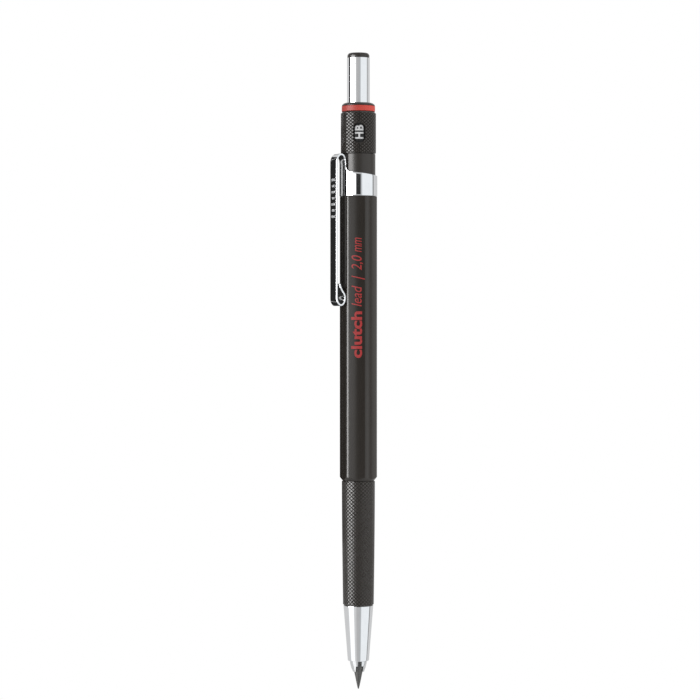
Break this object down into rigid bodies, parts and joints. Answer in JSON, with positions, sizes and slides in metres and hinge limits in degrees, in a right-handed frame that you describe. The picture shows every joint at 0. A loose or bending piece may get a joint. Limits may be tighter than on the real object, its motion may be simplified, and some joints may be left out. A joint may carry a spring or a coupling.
{
  "type": "mechanical pencil",
  "caption": "Push-button clutch pencil for 2 mm leads, with a hexagonal barrel, knurled grip, pocket clip, turning lead-grade sleeve and a lead pointer in the pull-off button.",
  "frame": {"origin": "the lead's point, on the pencil's axis", "axes": "+Z along the pencil's axis from the lead's point to the button; the pocket clip is on the -X side, and the barrel's facets face 0, 60, 120 degrees and so on about Z"},
  "size_m": [0.0103, 0.0084, 0.1416],
  "materials": {
    "graphite_lead": "ground graphite, faint sheen",
    "jaw_steel": "turned and slotted, satin",
    "collet_brass": "turned, satin",
    "chrome": "polished chrome plate",
    "bush_brass": "turned, satin",
    "spring_steel": "drawn wire",
    "tube_plastic": "extruded, satin",
    "grip_plastic": "moulded, fine diamond knurl",
    "barrel_plastic": "moulded, semi-gloss",
    "sleeve_plastic": "moulded, fine diamond knurl",
    "scale_plastic": "moulded, printed with lead grades",
    "red_plastic": "moulded, semi-gloss",
    "plug_plastic": "moulded, satin",
    "insert_plastic": "moulded, satin",
    "blade_steel": "ground edge"
  },
  "bodies": {
    "body": {"nose_cone": "chrome", "front_bush": "bush_brass", "grip": "grip_plastic", "barrel": "barrel_plastic", "neck_collar": "barrel_plastic", "clip_band": "chrome", "scale_sleeve": "scale_plastic", "red_ring": "red_plastic", "end_collar": "plug_plastic", "return_spring": "spring_steel"},
    "plunger": {"collet_body": "collet_brass", "lead_tube": "tube_plastic", "tube_collar": "collet_brass"},
    "jaw_1": {"collet_jaw_1": "jaw_steel"},
    "jaw_2": {"collet_jaw_2": "jaw_steel"},
    "jaw_3": {"collet_jaw_3": "jaw_steel"},
    "lead": {"lead": "graphite_lead"},
    "button": {"button_sleeve": "chrome", "button_plug": "plug_plastic", "button_insert": "insert_plastic", "pointer_blade": "blade_steel"},
    "sleeve": {"grade_sleeve": "sleeve_plastic"},
    "clip": {"clip_arm": "chrome"}
  },
  "joints": [
    {"name": "press", "type": "slide", "parent": "body", "child": "plunger", "axis": [0, 0, -1], "range_m": [0, 0.0035], "stiffness_N_per_m": 500, "springref_m": -0.004, "deforming": ["return_spring"]},
    {"name": "jaw_1_open", "type": "hinge", "parent": "plunger", "child": "jaw_1", "pos_m": [0.00094, -0.00087, 0.016], "axis": [-0.682, -0.7314, 0], "range_deg": [0, 3]},
    {"name": "jaw_2_open", "type": "hinge", "parent": "plunger", "child": "jaw_2", "pos_m": [0.00029, 0.00125, 0.016], "axis": [0.9744, -0.225, 0], "range_deg": [0, 3]},
    {"name": "jaw_3_open", "type": "hinge", "parent": "plunger", "child": "jaw_3", "pos_m": [-0.00122, -0.00037, 0.016], "axis": [-0.2924, 0.9563, 0], "range_deg": [0, 3]},
    {"name": "lead_slide", "type": "slide", "parent": "plunger", "child": "lead", "axis": [0, 0, -1], "range_m": [-0.0039, 0.012]},
    {"name": "button_pull", "type": "slide", "parent": "plunger", "child": "button", "axis": [0, 0, 1], "range_m": [0, 0.0065]},
    {"name": "grade_turn", "type": "hinge", "parent": "body", "child": "sleeve", "pos_m": [0, 0, 0.1239], "axis": [0, 0, 1], "continuous": true},
    {"name": "clip_flex", "type": "hinge", "parent": "body", "child": "clip", "pos_m": [-0.0037, 0, 0.1172], "axis": [0, 1, 0], "range_deg": [0, 4], "stiffness_Nm_per_rad": 1.5, "springref_deg": -1.72}
  ],
  "couplings": [
    {"joint": "jaw_1_open", "follows": "press", "rad_per_m": 14.945},
    {"joint": "jaw_2_open", "follows": "press", "rad_per_m": 14.945},
    {"joint": "jaw_3_open", "follows": "press", "rad_per_m": 14.945}
  ]
}
